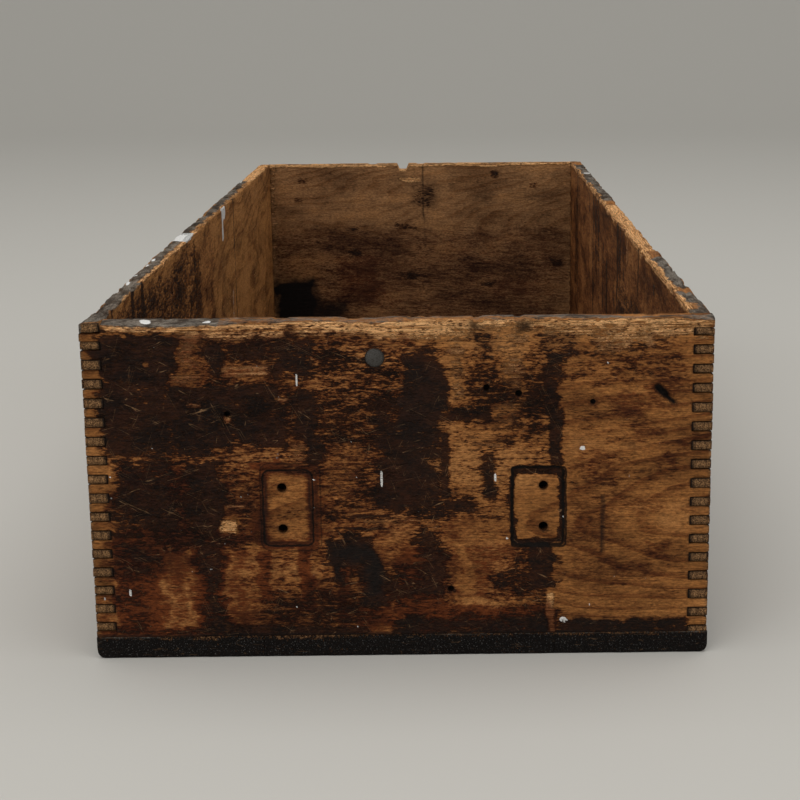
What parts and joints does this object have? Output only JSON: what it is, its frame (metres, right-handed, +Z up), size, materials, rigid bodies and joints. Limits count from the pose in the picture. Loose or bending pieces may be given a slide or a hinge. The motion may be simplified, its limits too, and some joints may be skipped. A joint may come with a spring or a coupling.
{
  "type": "wooden apple crate",
  "caption": "Long open-topped wooden crate with finger-jointed plank walls and a nailed board floor, for picking, carrying and storing apples.",
  "frame": {"origin": "middle of the underside, on the surface that the crate stands on", "axes": "+X to the right when facing the front end panel, +Y from the front end to the back end along the crate, +Z up"},
  "size_m": [0.3048, 0.8128, 0.1714],
  "materials": {
    "wall_wood": "aged softwood under worn dark varnish",
    "floor_wood": "softwood with black-painted ends",
    "nail_steel": "dull grey oxide"
  },
  "bodies": {
    "root": {"front_panel": "wall_wood", "back_panel": "wall_wood", "left_side_panel": "wall_wood", "right_side_panel": "wall_wood", "floor_board_left_outer": "floor_wood", "floor_board_left_inner": "floor_wood", "floor_board_right_inner": "floor_wood", "floor_board_right_outer": "floor_wood", "broad_head_nail": "nail_steel", "front_floor_nails": "nail_steel", "back_floor_nails": "nail_steel", "left_floor_nails": "nail_steel", "right_floor_nails": "nail_steel"}
  },
  "joints": []
}
